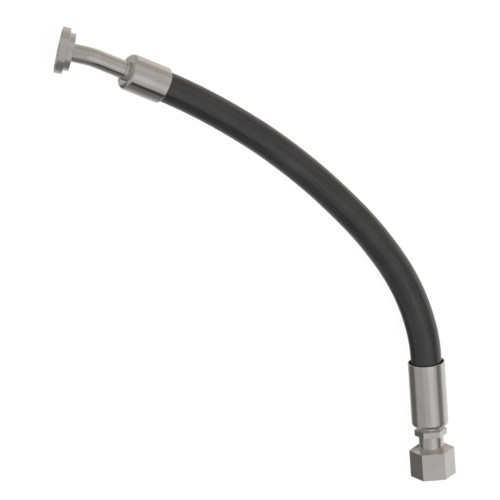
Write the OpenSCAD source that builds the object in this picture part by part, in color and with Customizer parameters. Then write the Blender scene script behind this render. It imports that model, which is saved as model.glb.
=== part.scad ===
// Hydraulic hose assembly: a two-wire braided hose with a crimped flange elbow
// at one end and a crimped swivel nut with a 24 degree cone at the other.
// It lies as it does on a table: flange rim, hose bow and ferrule mouth touch the surface.
// Origin: centre of the flange's sealing face. +Z is up, and the hose leaves its
// flange ferrule along +X, seen from above, and bows towards -Y.

/* [Hose] */
// Outside diameter of the rubber cover
hose_od = 25.5; // [22:0.1:28]
// Thickness of the rubber cover
cover_t = 1.35; // [0.8:0.05:1.5]
// Thickness of each wire braid
braid_t = 0.7; // [0.5:0.05:0.8]
// Thickness of the rubber between the two braids
interlayer_t = 0.35; // [0.25:0.05:0.5]
// Wall of the inner tube
inner_tube_wall = 1.7; // [1.4:0.1:2]
// Angle between the two fittings' axes, turned by the whole hose
hose_turn = 60; // [59.5:0.25:60.5]

/* [Ferrules] */
// Wall of both ferrules round the hose
ferrule_wall = 2.3; // [2.1:0.1:3]
// Length of the flange side's ferrule
flange_ferrule_len = 35; // [30:0.2:42]
// Length of the nut side's ferrule
nut_ferrule_len = 54.6; // [48:0.2:60]
// Thickness of the wall that closes a ferrule round its insert
end_wall = 3.6; // [3:0.1:4.5]
// Radius of the rounded shoulder at that wall
shoulder_r = 3.2; // [2:0.1:3.6]
// Radius of the edge round the flange ferrule's mouth
mouth_edge_r = 1.2; // [0.5:0.1:1.6]
// Step between the ridges that grip the hose
ridge_step = 5; // [4:0.5:7]
// Height of a gripping ridge
ridge_h = 0.5; // [0.3:0.05:0.7]
// Length of the nut ferrule's flared mouth
flare_len = 9; // [6:0.5:12]
// Length of the straight lip at the end of that mouth
flare_lip_len = 3; // [1:0.5:4]
// Gap round the hose at the flared mouth
flare_gap = 1.3; // [0.8:0.1:1.5]
// Radius of the edge round the flared mouth
flare_edge_r = 0.4; // [0.2:0.1:0.5]

/* [Inserts] */
// Wall of both inserts' tails between the barbs
tail_wall = 1.6; // [1.3:0.1:2]
// Room between the tail and the hose's bore
tail_room = 0.35; // [0.2:0.05:0.4]
// Height of a barb over the tail, more than that room
barb_h = 0.5; // [0.45:0.05:0.6]
// Step from barb to barb
barb_step = 5; // [4:0.5:6]
// How far the tail stops short of the ferrule's mouth
tail_short = 2; // [1:0.5:4]
// Depth of the groove that the ferrule's wall closes into
lock_groove_depth = 0.3; // [0.2:0.05:0.5]
// Height over the tail of the collar that the hose's end meets
stop_collar_h = 1.6; // [1.2:0.1:2.1]
// Length of that collar
stop_collar_len = 2.6; // [2:0.1:3.4]

/* [Flange] */
// Diameter of the flange head
head_d = 38.1; // [37.6:0.1:38.6]
// Thickness of the flange head
head_t = 6.73; // [6.4:0.01:7.2]
// Width of the head's back face, which the clamp presses on
head_lip = 3.55; // [3:0.05:4]
// Length of that shoulder
shoulder_len = 4.9; // [4:0.1:6]
// Rounding of the edges of the head
head_edge_r = 0.6; // [0.3:0.1:0.9]
// Width of the land outside the seal's groove
seal_land = 3.175; // [3:0.025:3.5]
// Width of that groove
seal_groove_w = 3.95; // [3.8:0.05:4.1]
// Depth of that groove
seal_groove_depth = 2.85; // [2.7:0.05:3]
// Depth to which the tube sits in the flange
tube_socket_depth = 7; // [5:0.5:8]

/* [Elbow tube] */
// Wall of the tube
tube_wall = 1.5; // [1.2:0.1:2]
// Angle of the bend
tube_bend = 22.5; // [15:0.5:40]
// Bend radius on the tube's centreline
tube_bend_r = 30; // [24:1:40]
// How much the tube necks in where it is bent, on its radius
bend_neck = 0.03; // [0.02:0.01:0.1]
// From the sealing face to the corner of the two straight centrelines
flange_leg = 27.85; // [24:0.05:36]
// From that corner to the end of the ferrule
insert_leg = 32.2; // [24:0.2:44]
// Direction of the bend round the flange ferrule's axis
elbow_clock = -123; // [-180:1:180]
// Height over the tube of the collar that shows before the ferrule
collar_h = 0.6; // [0.4:0.1:1.2]
// Length of that collar
collar_len = 3.1; // [2:0.1:5]

/* [Swivel nut] */
// Gap between the ferrule and the hexagon
hex_gap = 3.2; // [2.5:0.1:6]
// Wall of the insert in that gap
hex_gap_wall = 2.5; // [2:0.1:3]
// Width across flats of the insert's hexagon
hex_af = 23; // [22:0.5:26]
// Thickness of that hexagon
hex_t = 5; // [3:0.1:6]
// Diameter of the neck that the nut turns on
neck_d = 20.2; // [19.6:0.1:20.6]
// Length of neck that shows behind the nut
neck_len = 12.25; // [8:0.05:16]
// Width across flats of the nut
nut_af = 32; // [31:0.5:34]
// Length of the nut
nut_len = 22.4; // [20:0.1:24]
// Radial play between neck and nut
swivel_play = 0.06; // [0.03:0.01:0.1]
// Length of the nut's plain bore on the neck
nut_bore_len = 6.8; // [6:0.1:7.4]
// Length of the relief behind the thread
relief_len = 3; // [2:0.1:4]
// Inside diameter of the nut's thread, M26 x 1.5
thread_minor_d = 24.38; // [24.2:0.01:24.6]
// Depth of the relief behind the thread
relief_depth = 1.11; // [0.9:0.01:1.5]
// Depth of the chamfer at the nut's mouth
mouth_chamfer = 0.9; // [0.5:0.1:1.2]
// Thickness of the wire that holds the nut on
wire_t = 2; // [1.6:0.1:2.2]
// Gap round the wire in the neck's groove
wire_play = 0.12; // [0.08:0.01:0.2]
// Included angle of the sealing cone
cone_angle = 24; // [20:1:30]
// Length of the sealing cone
cone_len = 9; // [7.5:0.1:9.6]
// How far the cone's tip lies inside the nut's mouth
tip_recess = 1.85; // [1:0.05:3]
// Thickness of the cone's seal
cone_seal_t = 2; // [1.8:0.1:2.2]
// How far that seal stands proud of the cone
cone_seal_proud = 0.35; // [0.2:0.05:0.5]
// Room beside the seal in the cone's groove
cone_seal_room = 0.4; // [0.2:0.1:0.6]
// Turn of the hexagon and the nut round their axis
hex_clock = 15; // [0:1:60]

/* [Resting position] */
// Roll of the assembly round the flange ferrule's axis
lay_roll = -5.5; // [-8:0.1:-3]
// Pitch of the flange ferrule, mouth down
lay_pitch = 3.35; // [2:0.05:5]

/* [Hidden] */

$fn = 96;

// The hose's route between the ferrules' mouths, in the plane that it bows in:
// x along the flange ferrule's axis, y across, from the mouth at [0, 0].
HOSE_ROUTE = [
    [0, 0], [21.6, -0.5], [51.6, -3], [86.1, -7.5], [120.6, -14.5], [154.1, -23.5], [187.6, -35],
    [215.1, -46], [239.1, -58], [259.1, -70], [275.1, -82], [288.1, -94], [299.1, -106],
    [308.1, -118], [314.8, -129.3]
];
HOSE_SIDES = 12;
eps = 0.01; // how far a cut runs past the face it opens
bend_lap = 0.4; // how far a straight leg runs into the bend

// Outline of one ridge and one barb: share of its height, share of its step
RIDGE_OUTLINE = [[0, 0], [1, 0.35], [1, 0.5], [0, 0.7]];
BARB_OUTLINE = [[0, 0], [1, 0], [1, 0.12], [0, 0.8]];

// Radii of the hose's layers, from the cover inwards, and of the ferrules over it
cover_r = hose_od / 2;
ferrule_r = cover_r + ferrule_wall;
outer_braid_r = cover_r - cover_t;
interlayer_r = outer_braid_r - braid_t;
inner_braid_r = interlayer_r - interlayer_t;
inner_tube_r = inner_braid_r - braid_t;
bore_r = inner_tube_r - inner_tube_wall;

// Radii of the inserts and the tube, from the hose's bore inwards
tail_r = bore_r - tail_room;
insert_bore_r = tail_r - tail_wall;
lock_groove_r = tail_r - lock_groove_depth;
tube_r = insert_bore_r + tube_wall;
collar_r = tube_r + collar_h;
hex_gap_r = insert_bore_r + hex_gap_wall;

// The hose is pushed in until its end meets the insert's stop collar
stop_z = end_wall + stop_collar_len;
flange_grip = flange_ferrule_len - stop_z;
nut_grip = nut_ferrule_len - stop_z;
nut_mouth = HOSE_ROUTE[len(HOSE_ROUTE) - 1];
nut_dir = [cos(hose_turn), -sin(hose_turn)];
hose_line = concat([[-flange_grip, 0]], HOSE_ROUTE, [nut_mouth + nut_grip * nut_dir]);

// The elbow
bend_tangent = tube_bend_r * tan(tube_bend / 2);
elbow_corner = [-flange_ferrule_len - insert_leg, 0, 0];
flange_total = head_t + shoulder_len;
tube_start = flange_total - tube_socket_depth;
seal_groove_r = head_d / 2 - seal_land;

// Heights along the swivel end, outwards from the end of its ferrule
hex_start = hex_gap;
neck_start = hex_start + hex_t;
nut_start = neck_start + neck_len;
nut_end = nut_start + nut_len;
wire_z = nut_start + nut_bore_len / 2;
thread_start = nut_start + nut_bore_len + relief_len;
cone_tip = nut_end - tip_recess;
cone_start = cone_tip - cone_len;
cone_seal_z = (cone_start + cone_tip) / 2;
cone_slope = tan(cone_angle / 2);
cone_seal_r = neck_d / 2 - (cone_seal_z - cone_start) * cone_slope + cone_seal_proud - cone_seal_t / 2;
wire_ring_r = neck_d / 2 + swivel_play / 2;

// Places

function turned_x(p, a) = [p.x, p.y * cos(a) - p.z * sin(a), p.y * sin(a) + p.z * cos(a)];
function turned_y(p, a) = [p.x * cos(a) + p.z * sin(a), p.y, -p.x * sin(a) + p.z * cos(a)];

// Direction from the elbow's corner to the flange, and the sealing face's centre
flange_dir = turned_x([-cos(tube_bend), sin(tube_bend), 0], elbow_clock);
face_centre = elbow_corner + flange_leg * flange_dir;

// The hose's own plane, laid on the table with the sealing face's centre at the origin
module laid() {
    translate(-turned_y(turned_x(face_centre, lay_roll), lay_pitch))
        rotate([lay_roll, lay_pitch, 0])
            children();
}

// Frame of the elbow: its bend lies in XY, and the insert's leg runs along +X
module at_corner() {
    laid()
        translate(elbow_corner)
            rotate([elbow_clock, 0, 0])
                children();
}

// Frame of the flange: sealing face at z = 0, +Z into the part
module at_flange() {
    at_corner()
        rotate([0, 0, -tube_bend])
            translate([-flange_leg, 0, 0])
                rotate([0, 90, 0])
                    children();
}

// Frame of the flange side's crimp: ferrule from z = 0 to its mouth
module at_flange_crimp() {
    laid()
        translate([-flange_ferrule_len, 0, 0])
            rotate([0, 90, 0])
                children();
}

// Frame of the nut side's crimp: ferrule from z = 0 to its mouth
module at_nut_crimp() {
    laid()
        translate(concat(nut_mouth + nut_ferrule_len * nut_dir, 0))
            rotate([0, 0, -hose_turn])
                rotate([0, -90, 0])
                    children();
}

// Frame of the swivel end: z = 0 at the ferrule, +Z outwards to the nut's mouth
module at_swivel() {
    at_nut_crimp()
        mirror([0, 0, 1])
            rotate([0, 0, hex_clock])
                children();
}

// Shapes that repeat

// Half section from z = 0 to len, filled to r, with round edges of radius r0 and r1
module rounded_half(r, len, r0, r1) {
    square([r - r0, len]);
    translate([0, r0])
        square([r, len - r0 - r1]);
    square([r - r1, len]);
    translate([r - r0, r0])
        circle(r0);
    translate([r - r1, len - r1])
        circle(r1);
}

module hex_bar(across_flats, len) {
    cylinder(d = across_flats / cos(30), h = len, $fn = 6);
}

// Rings of a planar sweep: the ring at point i stands square to the route there
function along(line, i) =
    let (
        before = line[max(i - 1, 0)],
        after = line[min(i + 1, len(line) - 1)],
        step = after - before
    )
    step / norm(step);

function sweep_ring(line, i, r) =
    let (dir = along(line, i))
    [for (k = [0 : HOSE_SIDES - 1])
        let (a = 360 * k / HOSE_SIDES)
        [line[i].x - r * cos(a) * dir.y, line[i].y + r * cos(a) * dir.x, r * sin(a)]];

function sweep_points(line, r) =
    [for (i = [0 : len(line) - 1], p = sweep_ring(line, i, r)) p];

// Point k of ring i in a list of rings that starts at point number base
function ring_index(base, i, k) = base + i * HOSE_SIDES + k % HOSE_SIDES;

// A skin between two rows of rings, as pairs of triangles split along the same diagonal
function skin(base, rings, outward) =
    [for (i = [0 : rings - 2], k = [0 : HOSE_SIDES - 1], half = [0, 1])
        let (
            a = ring_index(base, i, k),
            b = ring_index(base, i, k + 1),
            c = ring_index(base, i + 1, k + 1),
            d = ring_index(base, i + 1, k),
            face = half == 0 ? [a, b, c] : [a, c, d]
        )
        outward ? face : [face[2], face[1], face[0]]];

// The flat end between the outer and the inner ring number i
function end_face(outer, inner, i, first) =
    [for (k = [0 : HOSE_SIDES - 1], half = [0, 1])
        let (
            a = ring_index(outer, i, k),
            b = ring_index(outer, i, k + 1),
            c = ring_index(inner, i, k + 1),
            d = ring_index(inner, i, k),
            face = half == 0 ? [a, c, b] : [a, d, c]
        )
        first ? face : [face[2], face[1], face[0]]];

// One layer of the hose, a tube along the whole hose
module hose_layer(r_out, r_in) {
    rings = len(hose_line);
    inner = rings * HOSE_SIDES;
    laid()
        polyhedron(
            points = concat(sweep_points(hose_line, r_out), sweep_points(hose_line, r_in)),
            faces = concat(
                skin(0, rings, true),
                skin(inner, rings, false),
                end_face(0, inner, 0, true),
                end_face(0, inner, rings - 1, false)
            )
        );
}

// Outline of the ridges that bite into the cover, from one height to another
function ridge_line(from_z, to_z) =
    [for (i = [0 : floor((to_z - from_z) / ridge_step) - 1])
        for (corner = RIDGE_OUTLINE)
            [cover_r - corner.x * ridge_h, from_z + (i + corner.y) * ridge_step]];

// Outline of a ferrule's mouth: plain, or flared to stand clear of the hose
function mouth_line(len, flared) =
    flared
        ? [[cover_r, len - flare_len], [cover_r + flare_gap, len - flare_lip_len], [cover_r + flare_gap, len + eps]]
        : [[cover_r, len + eps]];

// Half section of a crimped shell: end wall closed into the lock groove, ridged bore
module ferrule_half(len, edge_r, flared) {
    difference() {
        rounded_half(ferrule_r, len, shoulder_r, edge_r);
        translate([0, -eps])
            square([lock_groove_r, len]);
        polygon(concat(
            [[0, end_wall], [cover_r, end_wall]],
            ridge_line(stop_z + ridge_step / 2, len - (flared ? flare_len : ridge_step / 2)),
            mouth_line(len, flared),
            [[0, len + eps]]
        ));
    }
}

// Half section of what both inserts have inside a ferrule: lock groove, stop, barbed tail
module tail_half(ferrule_len) {
    tail_end = ferrule_len - tail_short;
    barbs = floor((tail_end - stop_z) / barb_step);
    difference() {
        union() {
            square([lock_groove_r, stop_z]);
            translate([0, end_wall])
                square([tail_r + stop_collar_h, stop_collar_len]);
            translate([0, end_wall])
                square([tail_r, tail_end - end_wall]);
            for (i = [1 : barbs])
                translate([tail_r - eps, tail_end - i * barb_step])
                    polygon([for (corner = BARB_OUTLINE) [corner.x * (barb_h + eps), corner.y * barb_step]]);
        }
        translate([0, -eps])
            square([insert_bore_r, tail_end + 2 * eps]);
    }
}

// Flange end

module flange_head() {
    color([0.66, 0.64, 0.61])
        at_flange()
            rotate_extrude()
                difference() {
                    union() {
                        rounded_half(head_d / 2, head_t, head_edge_r, head_edge_r);
                        rounded_half(head_d / 2 - head_lip, flange_total, head_edge_r, head_edge_r);
                    }
                    translate([0, -eps])
                        square([insert_bore_r, flange_total]);
                    translate([0, tube_start])
                        square([tube_r, tube_socket_depth + eps]);
                    translate([seal_groove_r - seal_groove_w, -eps])
                        square([seal_groove_w, seal_groove_depth + eps]);
                }
}

// The elbow's run as a solid bar of radius r: straight leg, bend, straight leg
module elbow_run(r, past_end) {
    at_flange()
        translate([0, 0, tube_start - past_end])
            cylinder(r = r, h = flange_leg - bend_tangent + bend_lap - tube_start + past_end);
    at_corner()
        translate([bend_tangent, tube_bend_r, 0])
            rotate([0, 0, -90 - tube_bend])
                rotate_extrude(angle = tube_bend)
                    translate([tube_bend_r, 0])
                        circle(r - bend_neck);
    at_corner()
        translate([bend_tangent - bend_lap, 0, 0])
            rotate([0, 90, 0])
                cylinder(r = r, h = insert_leg - bend_tangent + bend_lap - collar_len + past_end);
}

module elbow_tube() {
    color([0.66, 0.64, 0.61])
        difference() {
            elbow_run(tube_r, 0);
            elbow_run(insert_bore_r, eps);
        }
}

module flange_insert() {
    color([0.68, 0.66, 0.63])
        at_flange_crimp()
            rotate_extrude() {
                tail_half(flange_ferrule_len);
                translate([insert_bore_r, -collar_len])
                    square([collar_r - insert_bore_r, collar_len]);
            }
}

module flange_ferrule() {
    color([0.67, 0.65, 0.62])
        at_flange_crimp()
            rotate_extrude()
                ferrule_half(flange_ferrule_len, mouth_edge_r, false);
}

// Hose

module hose_inner_tube() {
    color([0.12, 0.12, 0.12])
        hose_layer(inner_tube_r, bore_r);
}

module hose_inner_braid() {
    color([0.72, 0.68, 0.55])
        hose_layer(inner_braid_r, inner_tube_r);
}

module hose_interlayer() {
    color([0.16, 0.16, 0.16])
        hose_layer(interlayer_r, inner_braid_r);
}

module hose_outer_braid() {
    color([0.72, 0.68, 0.55])
        hose_layer(outer_braid_r, interlayer_r);
}

module hose_cover() {
    color([0.2, 0.2, 0.2])
        hose_layer(cover_r, outer_braid_r);
}

// Swivel end

module nut_ferrule() {
    color([0.67, 0.65, 0.62])
        at_nut_crimp()
            rotate_extrude()
                ferrule_half(nut_ferrule_len, flare_edge_r, true);
}

// Section of the retaining wire, or of the groove that it lies in
module wire_section(thickness) {
    translate([wire_ring_r, wire_z])
        circle(d = thickness);
}

// Half section of the insert outside the ferrule: gap, neck with its wire groove, cone
module swivel_half() {
    difference() {
        polygon([
            [insert_bore_r, 0], [hex_gap_r, 0], [hex_gap_r, hex_start], [neck_d / 2, hex_start],
            [neck_d / 2, cone_start], [neck_d / 2 - cone_len * cone_slope, cone_tip], [insert_bore_r, cone_tip]
        ]);
        wire_section(wire_t + 2 * wire_play);
        translate([cone_seal_r - cone_seal_t / 2, cone_seal_z - (cone_seal_t + cone_seal_room) / 2])
            square([cone_seal_t * 2, cone_seal_t + cone_seal_room]);
    }
}

module swivel_insert() {
    color([0.66, 0.64, 0.61])
        at_swivel() {
            rotate_extrude() {
                mirror([0, 1])
                    tail_half(nut_ferrule_len);
                swivel_half();
            }
            // the hexagon's hole lies inside the insert's wall, so the two are one piece
            translate([0, 0, hex_start])
                difference() {
                    hex_bar(hex_af, hex_t);
                    translate([0, 0, -eps])
                        cylinder(r = (insert_bore_r + hex_gap_r) / 2, h = hex_t + 2 * eps);
                }
        }
}

module cone_seal() {
    color([0.1, 0.1, 0.1])
        at_swivel()
            translate([0, 0, cone_seal_z])
                rotate_extrude()
                    translate([cone_seal_r, 0])
                        circle(d = cone_seal_t);
}

module nut_retaining_wire() {
    color([0.75, 0.75, 0.75])
        at_swivel()
            rotate_extrude()
                wire_section(wire_t);
}

// Half section of the nut's hollow: plain bore, wire groove, relief, thread, chamfer
module nut_hollow_half() {
    plain_r = neck_d / 2 + swivel_play;
    thread_r = thread_minor_d / 2;
    relief_r = thread_r + relief_depth;
    polygon([
        [0, nut_start - eps], [plain_r, nut_start - eps], [plain_r, nut_start + nut_bore_len],
        [relief_r, nut_start + nut_bore_len], [relief_r, thread_start], [thread_r, thread_start],
        [thread_r, nut_end - mouth_chamfer], [thread_r + mouth_chamfer + eps, nut_end + eps], [0, nut_end + eps]
    ]);
    wire_section(wire_t);
}

module swivel_nut() {
    color([0.64, 0.62, 0.59])
        at_swivel()
            difference() {
                translate([0, 0, nut_start])
                    hex_bar(nut_af, nut_len);
                rotate_extrude()
                    nut_hollow_half();
            }
}

flange_head();
elbow_tube();
flange_insert();
flange_ferrule();
hose_inner_tube();
hose_inner_braid();
hose_interlayer();
hose_outer_braid();
hose_cover();
nut_ferrule();
swivel_insert();
cone_seal();
nut_retaining_wire();
swivel_nut();
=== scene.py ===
import math

import bpy
import numpy as np
from mathutils import Matrix, Vector


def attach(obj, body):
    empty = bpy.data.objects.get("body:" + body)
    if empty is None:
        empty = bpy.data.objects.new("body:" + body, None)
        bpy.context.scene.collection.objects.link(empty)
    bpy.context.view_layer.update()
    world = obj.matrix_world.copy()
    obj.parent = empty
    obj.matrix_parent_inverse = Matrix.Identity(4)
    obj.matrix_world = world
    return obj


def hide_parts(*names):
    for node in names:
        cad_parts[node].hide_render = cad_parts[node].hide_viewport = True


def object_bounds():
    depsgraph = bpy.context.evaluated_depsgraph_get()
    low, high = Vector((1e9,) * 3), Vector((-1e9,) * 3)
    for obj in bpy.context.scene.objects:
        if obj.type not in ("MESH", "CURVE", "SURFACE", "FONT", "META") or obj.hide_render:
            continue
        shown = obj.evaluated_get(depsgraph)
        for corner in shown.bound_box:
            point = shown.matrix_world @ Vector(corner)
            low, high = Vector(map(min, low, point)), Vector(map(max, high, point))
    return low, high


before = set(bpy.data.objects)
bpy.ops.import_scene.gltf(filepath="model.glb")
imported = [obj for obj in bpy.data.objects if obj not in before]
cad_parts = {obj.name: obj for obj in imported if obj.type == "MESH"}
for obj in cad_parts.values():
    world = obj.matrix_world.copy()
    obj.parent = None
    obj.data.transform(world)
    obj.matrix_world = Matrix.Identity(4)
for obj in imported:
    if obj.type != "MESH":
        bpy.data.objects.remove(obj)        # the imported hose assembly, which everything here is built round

cad_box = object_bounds()

# --------------------------------------------------------------------------------------
# Sizes, in metres. Those of the solids are the part's own.

MM = 0.001

# Radii of the hose's layers, from the cover inwards
COVER_R = 12.75 * MM
OUTER_BRAID_R = 11.4 * MM
INTERLAYER_R = 10.7 * MM
INNER_BRAID_R = 10.35 * MM
INNER_TUBE_R = 9.65 * MM
HOSE_BORE_R = 7.95 * MM
# Fittings
BORE_R = 6 * MM
FERRULE_R = 15.05 * MM
FLANGE_FERRULE_LEN = 35 * MM
NUT_FERRULE_LEN = 54.6 * MM
END_WALL = 3.6 * MM
SHOULDER_R = 3.2 * MM
RIDGE_STEP = 5 * MM
RIDGE_H = 0.5 * MM
FLARE_LEN = 9 * MM
FLARE_LIP = 3 * MM
FLARE_GAP = 1.3 * MM
TAIL_R = 7.6 * MM
TAIL_SHORT = 2 * MM
BARB_H = 0.5 * MM
BARB_STEP = 5 * MM
LOCK_GROOVE_R = 7.3 * MM
STOP_COLLAR_R = 9.2 * MM
STOP_Z = 6.2 * MM
HEAD_R = 19.05 * MM
HEAD_T = 6.73 * MM
SHOULDER_RING_R = 15.5 * MM
FLANGE_TOTAL = 11.63 * MM
SEAL_GROOVE_R = 15.875 * MM
SEAL_GROOVE_W = 3.95 * MM
SEAL_GROOVE_DEPTH = 2.85 * MM
TUBE_START = 4.63 * MM
TUBE_R = 7.5 * MM
TUBE_BEND_R = 30 * MM
FLANGE_LEG = 27.85 * MM
INSERT_LEG = 32.2 * MM
COLLAR_R = 8.1 * MM
COLLAR_LEN = 3.1 * MM
# Swivel end, heights outwards from the end of its ferrule
HEX_GAP_R = 8.5 * MM
HEX_START = 3.2 * MM
HEX_END = 8.2 * MM
HEX_APOTHEM = 11.5 * MM
NECK_R = 10.1 * MM
NUT_START = 20.45 * MM
NUT_END = 42.85 * MM
NUT_APOTHEM = 16 * MM
NUT_BORE_R = 10.16 * MM
NUT_BORE_END = 27.25 * MM
RELIEF_R = 13.3 * MM
THREAD_START = 30.25 * MM
THREAD_R = 12.19 * MM
THREAD_PITCH = 1.5 * MM
THREAD_DEPTH = 0.81 * MM
MOUTH_CHAMFER = 0.9 * MM
WIRE_Z = 23.85 * MM
WIRE_RING_R = 10.13 * MM
WIRE_R = 1 * MM
WIRE_PLAY = 0.12 * MM
CONE_START = 32 * MM
CONE_TIP = 41 * MM
CONE_TIP_R = 8.187 * MM
CONE_SEAL_Z = 36.5 * MM
CONE_SEAL_R = 8.4935 * MM
CONE_SEAL_T = 2 * MM
CONE_SEAL_ROOM = 0.4 * MM
# Directions, in degrees
HOSE_TURN = 60
TUBE_BEND = 22.5
ELBOW_CLOCK = -123
HEX_CLOCK = 15
LAY_ROLL = -5.5
LAY_PITCH = 3.35

# The hose's route between the ferrules' mouths, in the plane that it bows in
HOSE_ROUTE = MM * np.array([
    [0, 0], [21.6, -0.5], [51.6, -3], [86.1, -7.5], [120.6, -14.5], [154.1, -23.5], [187.6, -35],
    [215.1, -46], [239.1, -58], [259.1, -70], [275.1, -82], [288.1, -94], [299.1, -106],
    [308.1, -118], [314.8, -129.3]
])
NUT_DIR = np.array([math.cos(math.radians(HOSE_TURN)), -math.sin(math.radians(HOSE_TURN))])
NUT_MOUTH = HOSE_ROUTE[-1]
FLANGE_GRIP = FLANGE_FERRULE_LEN - STOP_Z
NUT_GRIP = NUT_FERRULE_LEN - STOP_Z

# --------------------------------------------------------------------------------------
# Places: each is a frame of the part's own, as a matrix


def turn(axis, degrees):
    return Matrix.Rotation(math.radians(degrees), 4, axis)


def move(x=0.0, y=0.0, z=0.0):
    return Matrix.Translation((x, y, z))


LEAN = turn("Y", LAY_PITCH) @ turn("X", LAY_ROLL)
CORNER_IN_HOSE = move(-FLANGE_FERRULE_LEN - INSERT_LEG) @ turn("X", ELBOW_CLOCK)
FLANGE_IN_HOSE = CORNER_IN_HOSE @ turn("Z", -TUBE_BEND) @ move(-FLANGE_LEG) @ turn("Y", 90)
# The hose's plane, laid so that the centre of the sealing face is the origin
LAID = Matrix.Translation(-(LEAN @ FLANGE_IN_HOSE).translation) @ LEAN
CORNER = LAID @ CORNER_IN_HOSE
FLANGE = LAID @ FLANGE_IN_HOSE
FLANGE_CRIMP = LAID @ move(-FLANGE_FERRULE_LEN) @ turn("Y", 90)
NUT_SIDE = LAID @ move(*(NUT_MOUTH + NUT_FERRULE_LEN * NUT_DIR)) @ turn("Z", -HOSE_TURN)
NUT_CRIMP = NUT_SIDE @ turn("Y", -90)
SWIVEL = NUT_SIDE @ turn("Y", 90) @ turn("Z", -HEX_CLOCK)

# --------------------------------------------------------------------------------------
# Camera

VIEW_AZIMUTH = 238.07
VIEW_ELEVATION = 66.05
VIEW_ROLL = 146.96
VIEW_WIDTH = 405.72 * MM
# Where the middle of the picture lies from the sealing face: to the right, up and nearer
VIEW_CENTRE = Vector((154.63, -161.79, -98)) * MM
VIEW_DISTANCE = 17.0
SENSOR = 36.0


def make_camera():
    """A long lens, so that the picture is nearly free of perspective."""
    azimuth, elevation = math.radians(VIEW_AZIMUTH), math.radians(VIEW_ELEVATION)
    back = Vector((
        math.sin(azimuth) * math.cos(elevation),
        -math.cos(azimuth) * math.cos(elevation),
        math.sin(elevation),
    ))
    stand = (-back).to_track_quat("-Z", "Y").to_matrix().to_4x4() @ turn("Z", VIEW_ROLL)
    camera = bpy.data.objects.new("camera", bpy.data.cameras.new("camera"))
    bpy.context.scene.collection.objects.link(camera)
    camera.data.sensor_width = SENSOR
    camera.data.lens = SENSOR * VIEW_DISTANCE / VIEW_WIDTH
    camera.data.clip_end = 3 * VIEW_DISTANCE
    camera.matrix_world = Matrix.Translation(stand @ VIEW_CENTRE + back * VIEW_DISTANCE) @ stand
    bpy.context.scene.camera = camera


make_camera()

# --------------------------------------------------------------------------------------
# Outlines: closed loops of rows (radius, height, hexness), anticlockwise with the radius to
# the right. Hexness is 1 where the radius is a hexagon's apothem and 0 where it is round.

ARC_STEPS = 6


def rounded(corners):
    """Rows of an outline from its corners (radius, height, rounding, hexness or nothing).

    Each corner becomes an arc that touches both its sides: its centre lies on the bisector,
    rounding / sin(half the angle) from the corner, and it starts and ends
    rounding / tan(half the angle) from the corner.
    """
    given = np.array([tuple(c) + (0.0,) * (4 - len(c)) for c in corners], float)
    at = given[:, :2]
    before, after = np.roll(at, 1, axis=0) - at, np.roll(at, -1, axis=0) - at
    before /= np.linalg.norm(before, axis=1, keepdims=True)
    after /= np.linalg.norm(after, axis=1, keepdims=True)
    half = np.arccos(np.clip((before * after).sum(axis=1), -1, 1))[:, None] / 2
    rounding = given[:, 2:3]
    bisector = before + after
    bisector /= np.linalg.norm(bisector, axis=1, keepdims=True)
    centre = at + bisector * rounding / np.sin(half)
    start = at + before * rounding / np.tan(half) - centre
    end = at + after * rounding / np.tan(half) - centre
    swing = math.pi - 2 * half
    share = np.linspace(0, 1, ARC_STEPS + 1)[None, :]
    from_start = (np.sin((1 - share) * swing) / np.sin(swing))[:, :, None]
    from_end = (np.sin(share * swing) / np.sin(swing))[:, :, None]
    arcs = centre[:, None] + from_start * start[:, None] + from_end * end[:, None]
    hexness = np.repeat(given[:, 3], ARC_STEPS + 1)
    return np.column_stack([arcs.reshape(-1, 2), hexness])


def filled_in(rows, low, high, step):
    """The rows again, with rows no more than step apart where the height is within low and high."""
    following = np.roll(rows, -1, axis=0)
    within = (np.minimum(rows[:, 1], following[:, 1]) >= low - step) \
        & (np.maximum(rows[:, 1], following[:, 1]) <= high + step)
    count = np.where(within, np.ceil(np.abs(following[:, 1] - rows[:, 1]) / step), 1)
    count = np.maximum(count, 1).astype(int)
    owner = np.repeat(np.arange(len(rows)), count)
    number = np.arange(len(owner)) - np.repeat(np.cumsum(count) - count, count)
    share = (number / count[owner])[:, None]
    return rows[owner] * (1 - share) + following[owner] * share


def ring_outline(radius, height, thickness, steps=24):
    """Outline of a round wire bent into a ring."""
    angle = np.linspace(0, 2 * math.pi, steps, endpoint=False)
    circle = np.stack([np.cos(angle), np.sin(angle)], axis=1) * thickness / 2
    return np.column_stack([circle + [radius, height], np.zeros(steps)])


# --------------------------------------------------------------------------------------
# Surfaces: an outline carried round a path

SIDES = 192
HEX_SECTOR_STEPS = 18
HEX_EDGE = 0.022 # rounding of a hexagon's edges, as a share of its apothem


def even_angles(sides=SIDES):
    return np.linspace(0, 2 * math.pi, sides, endpoint=False)


def hexagon_angles():
    """Angles that crowd at a hexagon's corners: 30 degrees times the cube of even steps."""
    steps = np.arange(-HEX_SECTOR_STEPS, HEX_SECTOR_STEPS) / HEX_SECTOR_STEPS
    corners = np.arange(6)[:, None] * math.pi / 3
    return np.sort((corners + math.pi / 6 * steps ** 3).ravel() % (2 * math.pi))


def hexagon_radius(angle):
    """Distance from the centre to a hexagon of apothem 1 with rounded corners at 0, 60, ...:
    1 / cos on the flats, and near a corner the far side of a circle that touches both flats."""
    off_flat = np.abs((angle % (math.pi / 3)) - math.pi / 6)
    off_corner = math.pi / 6 - off_flat
    reach = (1 - HEX_EDGE) / math.cos(math.pi / 6)
    flat = 1 / np.cos(off_flat)
    inside = np.maximum(HEX_EDGE ** 2 - (reach * np.sin(off_corner)) ** 2, 0)
    corner = reach * np.cos(off_corner) + np.sqrt(inside)
    return np.where(off_flat < math.atan((1 - HEX_EDGE) * math.tan(math.pi / 6)), flat, corner)


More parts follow.
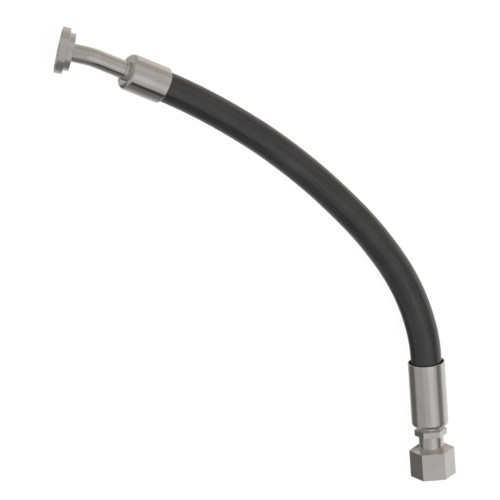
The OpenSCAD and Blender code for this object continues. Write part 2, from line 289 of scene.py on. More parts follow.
def straight(height):
    """Path up the Z axis: its points and the two directions across it."""
    count = len(height)
    points = np.column_stack([np.zeros((count, 2)), height])
    return points, np.tile([1.0, 0, 0], (count, 1)), np.tile([0, 1.0, 0], (count, 1))


def grid_object(name, points, uv_steps):
    """A closed grid of points as a mesh.

    Point (j, i) is joined to (j, i + 1) and (j + 1, i), and both ways round the grid closes on
    itself. The normal at a point is the cross product of the lines between its neighbours.
    """
    rows, sides = points.shape[:2]
    j, i = np.meshgrid(np.arange(rows), np.arange(sides), indexing="ij")
    up, on = (j + 1) % rows, (i + 1) % sides
    quads = np.stack([j * sides + i, j * sides + on, up * sides + on, up * sides + i], axis=-1)
    mesh = bpy.data.meshes.new(name)
    mesh.vertices.add(rows * sides)
    mesh.vertices.foreach_set("co", points.astype(np.float32).ravel())
    mesh.loops.add(quads.size)
    mesh.loops.foreach_set("vertex_index", quads.astype(np.int32).ravel())
    mesh.polygons.add(rows * sides)
    mesh.polygons.foreach_set("loop_start", np.arange(0, quads.size, 4, dtype=np.int32))
    mesh.update(calc_edges=True)
    round_at = np.concatenate([[0], np.cumsum(uv_steps[0])])
    along_at = np.concatenate([[0], np.cumsum(uv_steps[1])])
    uv = np.stack([
        np.stack([round_at[i], round_at[i + 1], round_at[i + 1], round_at[i]], axis=-1),
        np.stack([along_at[j], along_at[j], along_at[j + 1], along_at[j + 1]], axis=-1),
    ], axis=-1)
    mesh.uv_layers.new(name="surface").data.foreach_set("uv", uv.astype(np.float32).ravel())
    mesh.polygons.foreach_set("use_smooth", np.ones(rows * sides, bool))
    across = np.roll(points, -1, axis=1) - np.roll(points, 1, axis=1)
    along = np.roll(points, -1, axis=0) - np.roll(points, 1, axis=0)
    normals = np.cross(across, along).reshape(-1, 3)
    normals /= np.linalg.norm(normals, axis=1, keepdims=True)
    mesh.normals_split_custom_set_from_vertices(normals.astype(np.float32))
    piece = bpy.data.objects.new(name, mesh)
    bpy.context.scene.collection.objects.link(piece)
    return piece


def carried(name, place, rows, angles=None, path=straight, relief=None):
    """An outline carried round a path.

    The point at angle a of row (radius r, height s, hexness h) is
    path(s) + (r * ((1 - h) + h * hexagon(a)) + relief(r, s, a)) * (across * cos a + over * sin a).
    """
    angles = even_angles() if angles is None else angles
    radius, height, hexness = rows.T
    a = angles[None, :]
    reach = radius[:, None] * (1 - hexness[:, None] + hexness[:, None] * hexagon_radius(a))
    if relief is not None:
        reach = reach + relief(radius[:, None], height[:, None], a)
    points, across, over = path(height)
    grid = points[:, None] + reach[..., None] * (
        across[:, None] * np.cos(a)[..., None] + over[:, None] * np.sin(a)[..., None]
    )
    matrix = np.array(place)
    grid = grid @ matrix[:3, :3].T + matrix[:3, 3]
    round_steps = np.diff(np.append(angles, angles[0] + 2 * math.pi)) * radius.max()
    along_steps = np.linalg.norm(np.roll(rows, -1, axis=0)[:, :2] - rows[:, :2], axis=1)
    return grid_object(name, grid, (round_steps, along_steps))


# --------------------------------------------------------------------------------------
# The hose, which is the one cord: its line, then its five layers

LINE_STEP = 0.5 * MM
SPAN_STEPS = 60 # points in each span of the spline
# The spline's points in and past each ferrule, in its grips from the hose's side of its mouth
LEAD_IN = (-1.5, -1, -0.5, -0.25)
LEAD_OUT = (0.15, 0.3, 0.65, 1, 1.35)


def hose_line():
    """Smooth line of the hose, as its distances along and its points.

    It is a cubic B-spline on the route's points, with straight stretches inside the ferrules.
    Between points p1 and p2 it is the sum of p0 ... p3 times the B-spline's cubics.
    """
    lead_in = np.array([[share, 0] for share in LEAD_IN]) * FLANGE_GRIP
    lead_out = NUT_MOUTH + np.array(LEAD_OUT)[:, None] * NUT_GRIP * NUT_DIR
    knots = np.concatenate([lead_in, HOSE_ROUTE, lead_out])
    t = np.linspace(0, 1, SPAN_STEPS, endpoint=False)[:, None, None]
    weights = [
        (1 - t) ** 3, 3 * t ** 3 - 6 * t ** 2 + 4, -3 * t ** 3 + 3 * t ** 2 + 3 * t + 1, t ** 3
    ]
    spans = len(knots) - 3
    points = sum(w * knots[None, k:k + spans] for k, w in enumerate(weights)) / 6
    points = points.transpose(1, 0, 2).reshape(-1, 2)
    inside = (points[:, 0] > -FLANGE_GRIP) & ((points - NUT_MOUTH) @ NUT_DIR < NUT_GRIP)
    points = np.concatenate([
        [[-FLANGE_GRIP, 0]], points[inside], [NUT_MOUTH + NUT_GRIP * NUT_DIR]
    ])
    length = np.concatenate([[0], np.cumsum(np.linalg.norm(np.diff(points, axis=0), axis=1))])
    even = np.linspace(0, length[-1], int(length[-1] / LINE_STEP) + 1)
    return even, np.stack([np.interp(even, length, points[:, k]) for k in (0, 1)], axis=1)


LINE_AT, LINE = hose_line()
HOSE_LEN = LINE_AT[-1]
LINE_DIR = np.gradient(LINE, axis=0)
LINE_DIR /= np.linalg.norm(LINE_DIR, axis=1, keepdims=True)


def along_hose(height):
    """Path down the middle of the hose."""
    x, y, dx, dy = (np.interp(height, LINE_AT, v) for v in (*LINE.T, *LINE_DIR.T))
    size = np.hypot(dx, dy)
    flat = np.zeros_like(x)
    return (
        np.column_stack([x, y, flat]),
        np.column_stack([-dy / size, dx / size, flat]),
        np.column_stack([flat, flat, flat + 1]),
    )


WRAP_PITCH = 58 * MM
WRAP_STEP = 0.09 * MM
WRAP_EDGE = 0.02 # share of the pitch over which the surface steps up again
WAVE = 0.05 * MM
# The wave's two factors: times round the hose, and length of a radian along it
WAVE_UP = (3, 31 * MM)
WAVE_DOWN = (2, 17 * MM)
GRIP_FADE = NUT_GRIP / 4 # from each end of the hose, over which its relief comes in
SKIN = 0.1 * MM # a layer's relief is on what lies further out than this from its inside


def cover_relief(radius, height, angle):
    """What the curing wrap leaves on the cover.

    Along a helix, the surface sinks evenly from one edge of the wrap to the next and steps up
    again there. A slow wave round and along breaks it up.
    """
    turns = (height / WRAP_PITCH - angle / (2 * math.pi)) % 1
    ramp = np.where(turns < WRAP_EDGE, turns / WRAP_EDGE, (1 - turns) / (1 - WRAP_EDGE))
    wave = np.sin(WAVE_UP[0] * angle + height / WAVE_UP[1]) \
        * np.sin(WAVE_DOWN[0] * angle - height / WAVE_DOWN[1])
    outside = radius > OUTER_BRAID_R + SKIN
    grip = np.minimum(height, HOSE_LEN - height) / GRIP_FADE
    return outside * np.clip(grip, 0, 1) * (WRAP_STEP * (ramp - 1) + WAVE * (wave - 1) / 2)


BRAID_CARRIERS = 12
BRAID_PITCH = 72 * MM
STRAND_H = 0.18 * MM


def braid_relief(radius, height, angle):
    """Strands of wire that cross.

    Two sets of round-backed bands wind opposite ways, and at each crossing the one that a
    checkerboard of the two counts puts on top shows.
    """
    turns = angle / (2 * math.pi)
    left = BRAID_CARRIERS * (turns + height / BRAID_PITCH)
    right = BRAID_CARRIERS * (turns - height / BRAID_PITCH)
    on_top = (np.floor(left) + np.floor(right)) % 2
    band = np.where(on_top == 0, left % 1, right % 1)
    return -STRAND_H * (2 * band - 1) ** 2 * (radius > radius.min() + SKIN)


def layer_rows(outer, inner, outer_step, inner_step):
    """Outline of one layer: up its outside and down its inside."""
    up = np.linspace(0, HOSE_LEN, int(HOSE_LEN / outer_step))
    down = np.linspace(HOSE_LEN, 0, int(HOSE_LEN / inner_step))
    radius = np.concatenate([np.full(len(up), outer), np.full(len(down), inner)])
    return np.column_stack([radius, np.concatenate([up, down]), np.zeros(len(radius))])


LAYERS = {
    # node: outer radius, inner radius, step outside, step inside, sides, relief
    "hose_cover": (COVER_R, OUTER_BRAID_R, 0.75 * MM, 8 * MM, 128, cover_relief),
    "hose_outer_braid": (OUTER_BRAID_R, INTERLAYER_R, 1.5 * MM, 8 * MM, 96, braid_relief),
    "hose_interlayer": (INTERLAYER_R, INNER_BRAID_R, 8 * MM, 8 * MM, 64, None),
    "hose_inner_braid": (INNER_BRAID_R, INNER_TUBE_R, 1.5 * MM, 8 * MM, 96, braid_relief),
    "hose_inner_tube": (INNER_TUBE_R, HOSE_BORE_R, 8 * MM, 8 * MM, 64, None),
}


def make_hose():
    pieces = {}
    for node, (outer, inner, out_step, in_step, sides, relief) in LAYERS.items():
        rows = layer_rows(outer, inner, out_step, in_step)
        pieces[node] = carried(node + "_round", LAID, rows, even_angles(sides), along_hose, relief)
    return pieces


hose = make_hose()

# --------------------------------------------------------------------------------------
# Fittings

EDGE = 0.2 * MM # rounding of a machined edge
FINE_EDGE = 0.08 * MM # rounding of an edge inside
# Corners of one ridge and of one barb: shares of its height and of its step
RIDGE_SHAPE = ((0, 0.7), (1, 0.5), (1, 0.35), (0, 0.0))
BARB_SHAPE = ((0, 0.0), (1, 0.0), (1, 0.12), (0, 0.8))
WIRE_GROOVE_ROUND = 0.8 # rounding of the floor of a wire's groove, as a share of its depth


def ferrule_rows(length, mouth_edge, flared):
    """A crimped shell: end wall with a rounded shoulder, ridges inside that bite into the cover."""
    low = STOP_Z + RIDGE_STEP / 2
    high = length - (FLARE_LEN if flared else RIDGE_STEP / 2)
    ridges = [
        (COVER_R - h * RIDGE_H, low + (i + at) * RIDGE_STEP, FINE_EDGE)
        for i in reversed(range(int((high - low) / RIDGE_STEP)))
        for h, at in RIDGE_SHAPE
    ]
    if flared:
        mouth = [
            (COVER_R + FLARE_GAP, length, mouth_edge),
            (COVER_R + FLARE_GAP, length - FLARE_LIP, EDGE),
            (COVER_R, length - FLARE_LEN, EDGE),
        ]
    else:
        mouth = [(COVER_R, length, EDGE)]
    return rounded([
        (LOCK_GROOVE_R, 0, EDGE), (FERRULE_R, 0, SHOULDER_R), (FERRULE_R, length, mouth_edge),
        *mouth, *ridges, (COVER_R, END_WALL, EDGE), (LOCK_GROOVE_R, END_WALL, EDGE),
    ])


def tail_corners(ferrule_len):
    """What both inserts have inside a ferrule: lock groove, stop, barbs and the tail's end."""
    end = ferrule_len - TAIL_SHORT
    barbs = [
        (TAIL_R + h * BARB_H, end - (i - at) * BARB_STEP, FINE_EDGE)
        for i in reversed(range(1, int((end - STOP_Z) / BARB_STEP) + 1))
        for h, at in BARB_SHAPE
    ]
    return [
        (LOCK_GROOVE_R, 0, FINE_EDGE), (LOCK_GROOVE_R, END_WALL, FINE_EDGE),
        (STOP_COLLAR_R, END_WALL, FINE_EDGE), (STOP_COLLAR_R, STOP_Z, FINE_EDGE),
        (TAIL_R, STOP_Z, FINE_EDGE), *barbs, (TAIL_R, end, EDGE), (BORE_R, end, EDGE),
    ]


def flange_head_rows():
    """Head, shoulder behind it, the seal's groove in its face and the tube's socket."""
    return rounded([
        (BORE_R, 0, EDGE), (SEAL_GROOVE_R - SEAL_GROOVE_W, 0, EDGE),
        (SEAL_GROOVE_R - SEAL_GROOVE_W, SEAL_GROOVE_DEPTH, EDGE),
        (SEAL_GROOVE_R, SEAL_GROOVE_DEPTH, EDGE), (SEAL_GROOVE_R, 0, EDGE),
        (HEAD_R, 0, 3 * EDGE), (HEAD_R, HEAD_T, 3 * EDGE), (SHOULDER_RING_R, HEAD_T, 2 * EDGE),
        (SHOULDER_RING_R, FLANGE_TOTAL, 3 * EDGE), (TUBE_R, FLANGE_TOTAL, EDGE),
        (TUBE_R, TUBE_START, EDGE), (BORE_R, TUBE_START, EDGE),
    ])


LEG_IN = FLANGE_LEG - TUBE_BEND_R * math.tan(math.radians(TUBE_BEND / 2)) - TUBE_START
BEND_LEN = TUBE_BEND_R * math.radians(TUBE_BEND)
LEG_OUT = INSERT_LEG - TUBE_BEND_R * math.tan(math.radians(TUBE_BEND / 2)) - COLLAR_LEN
TUBE_LEN = LEG_IN + BEND_LEN + LEG_OUT


def along_elbow(height):
    """Path of the bent tube in the corner's frame.

    It is a straight leg, an arc that turns by the bend's angle, and a straight leg along X to
    the collar.
    """
    start = math.radians(-TUBE_BEND)
    leg_in = np.clip(height, None, LEG_IN)
    heading = start + np.clip(height - LEG_IN, 0, BEND_LEN) / TUBE_BEND_R
    leg_out = np.clip(height - LEG_IN - BEND_LEN, 0, None)
    first = (FLANGE_LEG - TUBE_START) * -np.array([math.cos(start), math.sin(start)])
    bend_x = TUBE_BEND_R * (np.sin(heading) - math.sin(start))
    bend_y = TUBE_BEND_R * (math.cos(start) - np.cos(heading))
    x = first[0] + leg_in * math.cos(start) + bend_x + leg_out
    y = first[1] + leg_in * math.sin(start) + bend_y
    flat = np.zeros_like(x)
    return (
        np.column_stack([x, y, flat]),
        np.column_stack([-np.sin(heading), np.cos(heading), flat]),
        np.column_stack([flat, flat, flat + 1]),
    )


def elbow_rows():
    rows = rounded([
        (BORE_R, 0, EDGE), (TUBE_R, 0, EDGE), (TUBE_R, TUBE_LEN, EDGE), (BORE_R, TUBE_LEN, EDGE)
    ])
    return filled_in(rows, 0, TUBE_LEN, 0.5 * MM)


def flange_insert_rows():
    return rounded([(BORE_R, -COLLAR_LEN, EDGE), (COLLAR_R, -COLLAR_LEN, EDGE), (COLLAR_R, 0, EDGE),
                    *tail_corners(FLANGE_FERRULE_LEN)])


def swivel_insert_rows():
    """Tail, gap, hexagon, neck with its wire groove, and cone with its seal groove."""
    tail = [(r, -z, edge) for r, z, edge in reversed(tail_corners(NUT_FERRULE_LEN))]
    groove = WIRE_R + WIRE_PLAY
    groove_round = groove * WIRE_GROOVE_ROUND
    seal_half = (CONE_SEAL_T + CONE_SEAL_ROOM) / 2
    seal_low, seal_high = CONE_SEAL_Z - seal_half, CONE_SEAL_Z + seal_half
    seal_floor = CONE_SEAL_R - CONE_SEAL_T / 2
    slope = (CONE_TIP_R - NECK_R) / (CONE_TIP - CONE_START)
    return rounded([
        *tail, (HEX_GAP_R, 0, FINE_EDGE), (HEX_GAP_R, HEX_START, EDGE),
        (HEX_APOTHEM, HEX_START, EDGE, 1), (HEX_APOTHEM, HEX_END, EDGE, 1), (NECK_R, HEX_END, EDGE),
        (NECK_R, WIRE_Z - groove, FINE_EDGE), (NECK_R - groove, WIRE_Z - groove, groove_round),
        (NECK_R - groove, WIRE_Z + groove, groove_round), (NECK_R, WIRE_Z + groove, FINE_EDGE),
        (NECK_R, CONE_START, EDGE),
        (NECK_R + slope * (seal_low - CONE_START), seal_low, FINE_EDGE),
        (seal_floor, seal_low, FINE_EDGE), (seal_floor, seal_high, FINE_EDGE),
        (NECK_R + slope * (seal_high - CONE_START), seal_high, FINE_EDGE),
        (CONE_TIP_R, CONE_TIP, 2 * EDGE), (BORE_R, CONE_TIP, 2 * EDGE),
    ])


THREAD_STEP = 0.125 * MM
# The thread's groove: how steep its flanks are, and the share of its depth that it has halfway
# between its own middle and the crest's
THREAD_FLANK = 2.2
THREAD_HALFWAY = 0.35


def nut_rows():
    """Hexagon outside; plain bore with the wire's groove, relief, thread and chamfer inside."""
    groove_round = WIRE_R * WIRE_GROOVE_ROUND
    turned = rounded([
        (NUT_BORE_R, NUT_START, EDGE),
        (NUT_APOTHEM, NUT_START, EDGE, 1), (NUT_APOTHEM, NUT_END, EDGE, 1),
        (THREAD_R + MOUTH_CHAMFER, NUT_END, FINE_EDGE),
        (THREAD_R, NUT_END - MOUTH_CHAMFER, FINE_EDGE),
        (THREAD_R, THREAD_START, FINE_EDGE), (RELIEF_R, THREAD_START, FINE_EDGE),
        (RELIEF_R, NUT_BORE_END, EDGE), (NUT_BORE_R, NUT_BORE_END, EDGE),
        (NUT_BORE_R, WIRE_Z + WIRE_R, FINE_EDGE),
        (NUT_BORE_R + WIRE_R, WIRE_Z + WIRE_R, groove_round),
        (NUT_BORE_R + WIRE_R, WIRE_Z - WIRE_R, groove_round),
        (NUT_BORE_R, WIRE_Z - WIRE_R, FINE_EDGE),
    ])
    return filled_in(turned, THREAD_START, NUT_END - MOUTH_CHAMFER, THREAD_STEP)


def thread_relief(radius, height, angle):
    """Right-hand thread in the bore.

    It is a trapezoid groove whose place along the bore is the pitch times the share of a turn,
    and which fades in and out over half a pitch at both ends.
    """
    inside = (np.abs(radius - THREAD_R) < 2 * FINE_EDGE) & (height > THREAD_START)
    share = (height / THREAD_PITCH - angle / (2 * math.pi)) % 1
    tooth = np.clip((0.5 - np.abs(2 * share - 1)) * THREAD_FLANK + THREAD_HALFWAY, 0, 1)
    ends = np.minimum(height - THREAD_START, NUT_END - MOUTH_CHAMFER - height) / (THREAD_PITCH / 2)
    return np.where(inside, THREAD_DEPTH * tooth * np.clip(ends, 0, 1), 0)


def make_fittings():
    hexes = hexagon_angles()
    return {
        "flange_head": carried("flange_head_turned", FLANGE, flange_head_rows()),
        "elbow_tube": carried("elbow_tube_bent", CORNER, elbow_rows(), path=along_elbow),
        "flange_insert": carried("flange_insert_turned", FLANGE_CRIMP, flange_insert_rows()),
        "flange_ferrule": carried("flange_ferrule_crimped", FLANGE_CRIMP,
                                  ferrule_rows(FLANGE_FERRULE_LEN, 6 * EDGE, False)),
        "nut_ferrule": carried("nut_ferrule_crimped", NUT_CRIMP,
                               ferrule_rows(NUT_FERRULE_LEN, 2 * EDGE, True)),
        "swivel_insert": carried("swivel_insert_turned", SWIVEL, swivel_insert_rows(), hexes),
        "cone_seal": carried("cone_seal_round", SWIVEL,
                             ring_outline(CONE_SEAL_R, CONE_SEAL_Z, CONE_SEAL_T)),
        "nut_retaining_wire": carried("nut_retaining_wire_round", SWIVEL,
                                      ring_outline(WIRE_RING_R, WIRE_Z, 2 * WIRE_R)),
        "swivel_nut": carried("swivel_nut_threaded", SWIVEL, nut_rows(), hexes,
                              relief=thread_relief),
    }


fittings = make_fittings()

# --------------------------------------------------------------------------------------
# Finishes


class Finish:
    """A material under construction, with its tree of nodes."""

    def __init__(self, name):
        self.material = bpy.data.materials.new(name)
        self.material.use_nodes = True
        self.tree = self.material.node_tree
        self.shader = self.tree.nodes["Principled BSDF"]

    def feed(self, socket, value):
        """Joins an input to another node's socket, or gives it a value."""
        if isinstance(value, bpy.types.NodeSocket):
            self.tree.links.new(value, socket)
        else:
            socket.default_value = value

    def set(self, node, **inputs):
        """Feeds inputs by name. Spaces in a name are written as _."""
        for name, value in inputs.items():
            self.feed(node.inputs[name.replace("_", " ")], value)

    def make(self, kind, settings=None, **inputs):
        node = self.tree.nodes.new("ShaderNode" + kind)
        for name, value in (settings or {}).items():
            setattr(node, name, value)
        self.set(node, **inputs)
        return node

    def surface_uv(self):
        """Metres round the piece and along its outline, as two sockets."""
        place = self.make("UVMap", {"uv_map": "surface"}).outputs["UV"]
        parts = self.make("SeparateXYZ", Vector=place)
        return parts.outputs["X"], parts.outputs["Y"]

    def reckon(self, operation, first, second):
        node = self.make("Math", {"operation": operation})
        self.feed(node.inputs[0], first)
        self.feed(node.inputs[1], second)
        return node.outputs[0]

    def product(self, first, second):
        return self.reckon("MULTIPLY", first, second)

    def joined(self, x, y):
        return self.make("CombineXYZ", X=x, Y=y).outputs[0]

    def noise(self, vector, scale, detail=3.0, roughness=0.55):
        return self.make("TexNoise", Vector=vector, Scale=scale, Detail=detail,
                         Roughness=roughness).outputs["Fac"]

    def drawn_out(self, ways, scales, detail, roughness=0.55):
        """Noise on the surface that has its own scale each way."""
        at = self.joined(self.product(ways[0], scales[0]), self.product(ways[1], scales[1]))
        return self.noise(at, 1.0, detail, roughness)

    def ranged(self, value, low, high, from_low=0.3, from_high=0.7):
        """The value's middle range spread from low to high."""
        node = self.make("MapRange", Value=value, From_Min=from_low, From_Max=from_high,
                         To_Min=low, To_Max=high)
        return node.outputs["Result"]

    def blend(self, share, first, second):
        """Colour between two, by share."""
        node = self.make("Mix", {"data_type": "RGBA"})
        self.feed(node.inputs[0], share)
        self.feed(node.inputs[6], (*first, 1))
        self.feed(node.inputs[7], (*second, 1))
        return node.outputs[2]

    def bump(self, height, strength, distance, under=None):
        node = self.make("Bump", Height=height, Strength=strength, Distance=distance)
        if under is not None:
            self.set(node, Normal=under)
        return node.outputs["Normal"]


# Scales of noise are waves to the metre. A bump is its strength and its depth.
PLATING_DULL = (0.655, 0.625, 0.598)
PLATING_BRIGHT = (0.715, 0.685, 0.660)
PLATING_CLOUD = 70
MARKS = (2600, 18) # across the marks and along them
MARKS_BUMP = (0.12, 0.02 * MM)


def plated_steel(name, lines, roughness=(0.13, 0.18), shade=1.0):
    """Satin plating over machined steel.

    lines is "round" for turned work, whose tool marks lie round the piece, and "along" for drawn
    tube, whose die marks run along it. shade darkens the plating.
    """
    finish = Finish(name)
    round_way, along_way = finish.surface_uv()
    ways = (along_way, round_way) if lines == "round" else (round_way, along_way)
    marks = finish.drawn_out(ways, MARKS, 4.0)
    cloud = finish.noise(finish.make("TexCoord").outputs["Object"], PLATING_CLOUD)
    dull = [shade * level for level in PLATING_DULL]
    bright = [shade * level for level in PLATING_BRIGHT]
    finish.set(finish.shader,
               Base_Color=finish.blend(finish.ranged(cloud, 0, 1), dull, bright),
               Metallic=1.0,
               Roughness=finish.ranged(marks, *roughness),
               Normal=finish.bump(marks, *MARKS_BUMP))
    return finish.material


COVER_IOR = 1.56
COVER_DARK = (0.018, 0.018, 0.018)
COVER_PALE = (0.043, 0.043, 0.042)
COVER_ROUGHNESS = (0.1, 0.15)
WEAVE_PITCH = 0.6 * MM
WEAVE_SCALE = 2 * math.pi / (20 * WEAVE_PITCH) # a wave of scale 1 has 20 radians to the metre
WEAVE_DISTORTION = 0.4
WEAVE_BUMP = (0.15, 0.03 * MM)
STREAKS = (400, 10) # round the hose and along it
STREAKS_BUMP = (0.9, 0.14 * MM)
STREAKS_TONE = 0.6 # share of the tone that follows the streaks
RIPPLES = (180, 17)
RIPPLES_BUMP = (1.0, 0.45 * MM)
BLOOM = 38
BLOOM_TONE = 0.4


def cover_rubber():
    """Wrapped rubber: print of the curing cloth, streaks, ripples and a dull bloom in patches."""
    finish = Finish("cover_rubber")
    ways = finish.surface_uv()
    streaks = finish.drawn_out(ways, STREAKS, 4.0, 0.6)
    ripples = finish.drawn_out(ways, RIPPLES, 3.0)
    bloom = finish.noise(finish.make("TexCoord").outputs["Object"], BLOOM, 4.0)
    warp, weft = (
        finish.make("TexWave", {"wave_type": "BANDS", "bands_direction": direction},
                    Vector=finish.joined(*ways), Scale=WEAVE_SCALE,
                    Distortion=WEAVE_DISTORTION).outputs["Fac"]
        for direction in ("X", "Y")
    )
    normal = finish.bump(finish.product(warp, weft), *WEAVE_BUMP)
    normal = finish.bump(streaks, *STREAKS_BUMP, normal)
    normal = finish.bump(ripples, *RIPPLES_BUMP, normal)
    tone = finish.reckon("ADD", finish.ranged(streaks, 0, STREAKS_TONE),
                         finish.ranged(bloom, 0, BLOOM_TONE))
    finish.set(finish.shader,
               Base_Color=finish.blend(tone, COVER_DARK, COVER_PALE),
               Roughness=finish.ranged(bloom, *COVER_ROUGHNESS),
               IOR=COVER_IOR,
               Normal=normal)
    return finish.material


MOULDED_CLOUD = 160
MOULDED_SPREAD = 0.1 # of its roughness
MOULDED_BUMP = (0.2, 0.05 * MM)


def plain_rubber(name, dark, light, roughness):
    """Moulded rubber with a faint cloud of tone."""
    finish = Finish(name)
    cloud = finish.noise(finish.make("TexCoord").outputs["Object"], MOULDED_CLOUD)
    finish.set(finish.shader,
               Base_Color=finish.blend(finish.ranged(cloud, 0, 1), (dark,) * 3, (light,) * 3),
               Roughness=finish.ranged(cloud, roughness, roughness + MOULDED_SPREAD),
               Normal=finish.bump(cloud, *MOULDED_BUMP))
    return finish.material


WIRE_LINES = (2400, 900) # round the piece and along its outline
WIRE_SPREAD = 0.12
WIRE_BUMP = (0.3, 0.03 * MM)


def drawn_wire(name, dark, bright, roughness):
    """Drawn wire, with fine lines in its surface and its tone."""
    finish = Finish(name)
    lines = finish.drawn_out(finish.surface_uv(), WIRE_LINES, 2.0)
    finish.set(finish.shader,
               Base_Color=finish.blend(finish.ranged(lines, 0, 1), dark, bright),
               Metallic=1.0,
               Roughness=finish.ranged(lines, roughness, roughness + WIRE_SPREAD),
               Normal=finish.bump(lines, *WIRE_BUMP))
    return finish.material


TURNED = plated_steel("plated_steel_turned", "round")
DRAWN = plated_steel("plated_steel_drawn", "along", shade=0.93)
MILLED = plated_steel("plated_steel_milled", "round", (0.27, 0.33))
COVER = cover_rubber()
INNER = plain_rubber("inner_rubber", 0.022, 0.035, 0.6)
SEAL = plain_rubber("seal_rubber", 0.014, 0.024, 0.35)
BRAID = drawn_wire("brass_coated_wire", (0.50, 0.40, 0.22), (0.72, 0.62, 0.40), 0.3)
SPRING = drawn_wire("spring_wire", (0.50, 0.50, 0.50), (0.66, 0.66, 0.65), 0.25)

DRESS = {
    # node: material, the record's slot, the body it rides on
    "hose_cover": (COVER, "cover_rubber", "hose_and_fittings"),
    "hose_outer_braid": (BRAID, "brass_coated_wire", "hose_and_fittings"),
    "hose_interlayer": (INNER, "inner_rubber", "hose_and_fittings"),
    "hose_inner_braid": (BRAID, "brass_coated_wire", "hose_and_fittings"),
    "hose_inner_tube": (INNER, "inner_rubber", "hose_and_fittings"),
    "flange_head": (TURNED, "plated_steel", "hose_and_fittings"),
    "elbow_tube": (DRAWN, "plated_steel", "hose_and_fittings"),
    "flange_insert": (TURNED, "plated_steel", "hose_and_fittings"),
    "flange_ferrule": (TURNED, "plated_steel", "hose_and_fittings"),
    "nut_ferrule": (TURNED, "plated_steel", "hose_and_fittings"),
    "swivel_insert": (TURNED, "plated_steel", "hose_and_fittings"),
    "cone_seal": (SEAL, "seal_rubber", "hose_and_fittings"),
    "nut_retaining_wire": (SPRING, "spring_wire", "nut"),
    "swivel_nut": (MILLED, "plated_steel", "nut"),
}


def dress():
    for node, piece in {**hose, **fittings}.items():
        material, slot, body = DRESS[node]
        piece.data.materials.append(material)
        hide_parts(node)
        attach(piece, body)
        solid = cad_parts[node]
        solid.data.materials.clear()
        solid.data.materials.append(material)


dress()

# --------------------------------------------------------------------------------------
# Studio

FLOOR_HALF = 14.0
FLOOR_COLOUR = (0.6, 0.6, 0.6)
# Share of the floor's colour that is plain white to the eye, and how white that is
FLOOR_PLAIN = 0.87
FLOOR_WHITE = 1.1
# How far from the metal the floor is still mirrored in it. Beyond, the studio's lower half is.
FLOOR_NEAR = 8 * MM
FLOOR_FAR = 26 * MM
# Levels of the studio's parts
WALL = 0.42
WARM_WALL = 0.55
SKIRTING = 0.38
DARK_CORNER = 0.19
CORNER_SPOT = 0.04
EAST_GLOW = 0.44
CEILING = 0.52
CEILING_GLOW = 0.18
LOW_WALL = 0.45
LOW_EAST = 0.79
DEEP_EAST = 0.86
LOW_WARM = 0.74
LOW_CORNER = 0.29
LOW_SPOT = 0.145
BELOW = 0.6
WARM_TINT = (1.03, 1.0, 0.92)
# Where they lie: a direction, and how far along it an edge starts and ends, softly
WARM_SIDE = ((0.17, 0.985, 0.0), 0.0, 0.7)
TINT_SIDE = ((0.1, 0.9, -0.42), 0.35, 0.92)
CEILING_PART = ((0.245, 0.0, 0.97), 0.76, 0.83)
CEILING_MIDDLE = ((0.22, 0.03, 0.975), 0.89, 0.985)
DARK_SPOT = ((0.44, -0.69, 0.575), 0.965, 1.003)
LOW_DARK_SPOT = ((-0.51, -0.68, -0.53), 0.8, 0.97)
# The same, by compass bearing alone
CORNER_SIDE = ((0.848, -0.53, 0.0), -0.1, 0.85)
EAST_SIDE = ((0.98, 0.2, 0.0), 0.82, 0.99)
LOW_WARM_SIDE = ((0.57, 0.82, 0.0), 0.72, 0.97)
# Heights between which a part comes in, where 1 is straight up and -1 is straight down
HORIZON = (0.22, 0.0)
DAWN = (0.36, 0.0)
SKIRTING_FOOT = (0.03, 0.08)
SKIRTING_TOP = (0.16, 0.1)
WALL_TOP = (0.66, 0.86)
LEVEL = (0.02, -0.02)
DEEP_CORNER = (-0.15, -0.55)
DEEP_WARM = (-0.28, -0.62)
DEEP_EAST_FROM = (-0.25, -0.6)
STRAIGHT_DOWN = (-0.75, -0.98)
KEY_AZIMUTH = 50
KEY_ELEVATION = 68
KEY_SPREAD = 32
KEY_LEVEL = 0.5 # of the light that plain white needs to look white


def make_floor():
    """A pale floor at the lowest point of the part.

    To the eye, part of its colour is plain white and the rest is lit, so that it keeps a soft
    shadow. In the metal it is lit, and fades with distance.
    """
    low = cad_box[0].z
    square = ((-1, -1), (1, -1), (1, 1), (-1, 1))
    corners = [(x * FLOOR_HALF, y * FLOOR_HALF, low) for x, y in square]
    mesh = bpy.data.meshes.new("floor")
    mesh.from_pydata(corners, [], [(0, 1, 2, 3)])
    floor = bpy.data.objects.new("floor", mesh)
    bpy.context.scene.collection.objects.link(floor)
    finish = Finish("pale_floor")
    finish.tree.nodes.remove(finish.shader)
    lit = finish.make("BsdfDiffuse", Color=(*FLOOR_COLOUR, 1)).outputs[0]
    white = finish.make("Emission", Color=(1, 1, 1, 1), Strength=FLOOR_WHITE).outputs[0]
    clear = finish.make("BsdfTransparent").outputs[0]
    path = finish.make("LightPath")
    seen = finish.reckon("MAXIMUM", path.outputs["Is Camera Ray"],
                         path.outputs["Is Transmission Ray"])
    far = finish.ranged(path.outputs["Ray Length"], 0, 1, FLOOR_NEAR, FLOOR_FAR)
    result = lit
    for share, other in (
        (finish.product(seen, FLOOR_PLAIN), white),
        (finish.product(path.outputs["Is Glossy Ray"], far), clear),
    ):
        mix = finish.make("MixShader", Fac=share)
        finish.tree.links.new(result, mix.inputs[1])
        finish.tree.links.new(other, mix.inputs[2])
        result = mix.outputs[0]
    finish.tree.links.new(result, finish.tree.nodes["Material Output"].inputs[0])
    mesh.materials.append(finish.material)


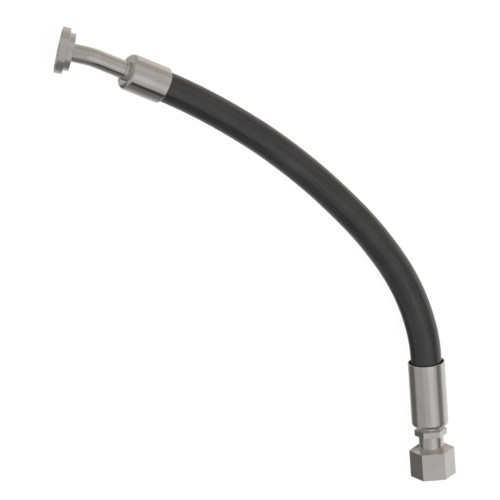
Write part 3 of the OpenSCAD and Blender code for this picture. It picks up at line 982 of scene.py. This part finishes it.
class Studio(Finish):
    """The world, with its tree of nodes and the direction that it is asked about."""

    def __init__(self, name):
        world = bpy.data.worlds.new(name)
        world.use_nodes = True
        bpy.context.scene.world = world
        self.tree = world.node_tree
        self.shader = self.tree.nodes["Background"]
        self.way = self.make("TexCoord").outputs["Generated"]
        parts = self.make("SeparateXYZ", Vector=self.way)
        self.height = parts.outputs["Z"]
        level = self.make("CombineXYZ", X=parts.outputs["X"], Y=parts.outputs["Y"]).outputs[0]
        self.bearing = self.make("VectorMath", {"operation": "NORMALIZE"}, Vector=level).outputs[0]

    def towards(self, part, from_vector=None):
        """0 where the direction lies less far along the part's than its low, 1 past its high."""
        way, low, high = part
        dot = self.make("VectorMath", {"operation": "DOT_PRODUCT"})
        self.feed(dot.inputs[0], from_vector or self.way)
        self.feed(dot.inputs[1], way)
        return self.smooth(dot.outputs["Value"], low, high)

    def by_height(self, heights):
        return self.smooth(self.height, *heights)

    def smooth(self, value, low, high):
        node = self.make("MapRange", {"interpolation_type": "SMOOTHSTEP"},
                         Value=value, From_Min=low, From_Max=high)
        return node.outputs["Result"]

    def between(self, share, first, second):
        """Number between two, by share. Each is a number or a socket."""
        node = self.make("Mix", {"data_type": "FLOAT"})
        for socket, value in ((0, share), (2, first), (3, second)):
            self.feed(node.inputs[socket], value)
        return node.outputs[0]


def make_studio():
    """The world that the metal mirrors, which to the eye is white all round.

    It has grey walls, warmer on one side, with a low dark corner on the other, a lighter
    ceiling, and a pale lower half that is brightest to the east.
    """
    studio = Studio("studio")
    corner = studio.towards(CORNER_SIDE, studio.bearing)
    east = studio.towards(EAST_SIDE, studio.bearing)

    skirting = studio.product(studio.by_height(SKIRTING_FOOT), studio.by_height(SKIRTING_TOP))
    warm_wall = studio.between(studio.by_height(HORIZON), WARM_WALL, LOW_WALL)
    warm_wall = studio.between(skirting, warm_wall, SKIRTING)
    walls = studio.between(studio.towards(WARM_SIDE), WALL, warm_wall)
    walls = studio.between(corner, walls, DARK_CORNER)
    walls = studio.between(studio.by_height(WALL_TOP), walls, CEILING)
    walls = studio.between(studio.towards(DARK_SPOT), walls, CORNER_SPOT)
    walls = studio.between(studio.product(east, studio.by_height(DAWN)), walls, EAST_GLOW)
    ceiling = studio.between(studio.towards(CEILING_MIDDLE), CEILING, CEILING + CEILING_GLOW)
    upper = studio.between(studio.towards(CEILING_PART), walls, ceiling)

    low_corner = studio.between(studio.by_height(DEEP_CORNER), LOW_CORNER, BELOW)
    lower = studio.between(corner, LOW_WALL, low_corner)
    low_warm = studio.product(studio.towards(LOW_WARM_SIDE, studio.bearing),
                              studio.by_height(DEEP_WARM))
    lower = studio.between(low_warm, lower, LOW_WARM)
    low_east = studio.between(studio.by_height(DEEP_EAST_FROM), LOW_EAST, DEEP_EAST)
    lower = studio.between(east, lower, low_east)
    lower = studio.between(studio.by_height(STRAIGHT_DOWN), lower, BELOW)
    lower = studio.between(studio.towards(LOW_DARK_SPOT), lower, LOW_SPOT)

    level = studio.between(studio.by_height(LEVEL), upper, lower)
    seen = studio.make("LightPath").outputs["Is Camera Ray"]
    tint = studio.blend(studio.towards(TINT_SIDE), (1, 1, 1), WARM_TINT)
    studio.set(studio.shader, Color=tint, Strength=studio.between(seen, level, 1.0))


def make_key():
    """A wide soft lamp high on one side, which shades the floor and doesn't glint in the metal."""
    light = bpy.data.lights.new("key", "SUN")
    light.angle = math.radians(KEY_SPREAD)
    light.energy = KEY_LEVEL * math.pi / math.sin(math.radians(KEY_ELEVATION))
    lamp = bpy.data.objects.new("key", light)
    bpy.context.scene.collection.objects.link(lamp)
    lamp.rotation_euler = (math.radians(90 - KEY_ELEVATION), 0, math.radians(KEY_AZIMUTH + 90))
    lamp.visible_glossy = False


make_floor()
make_studio()
make_key()

bpy.context.scene.view_settings.view_transform = "Standard"
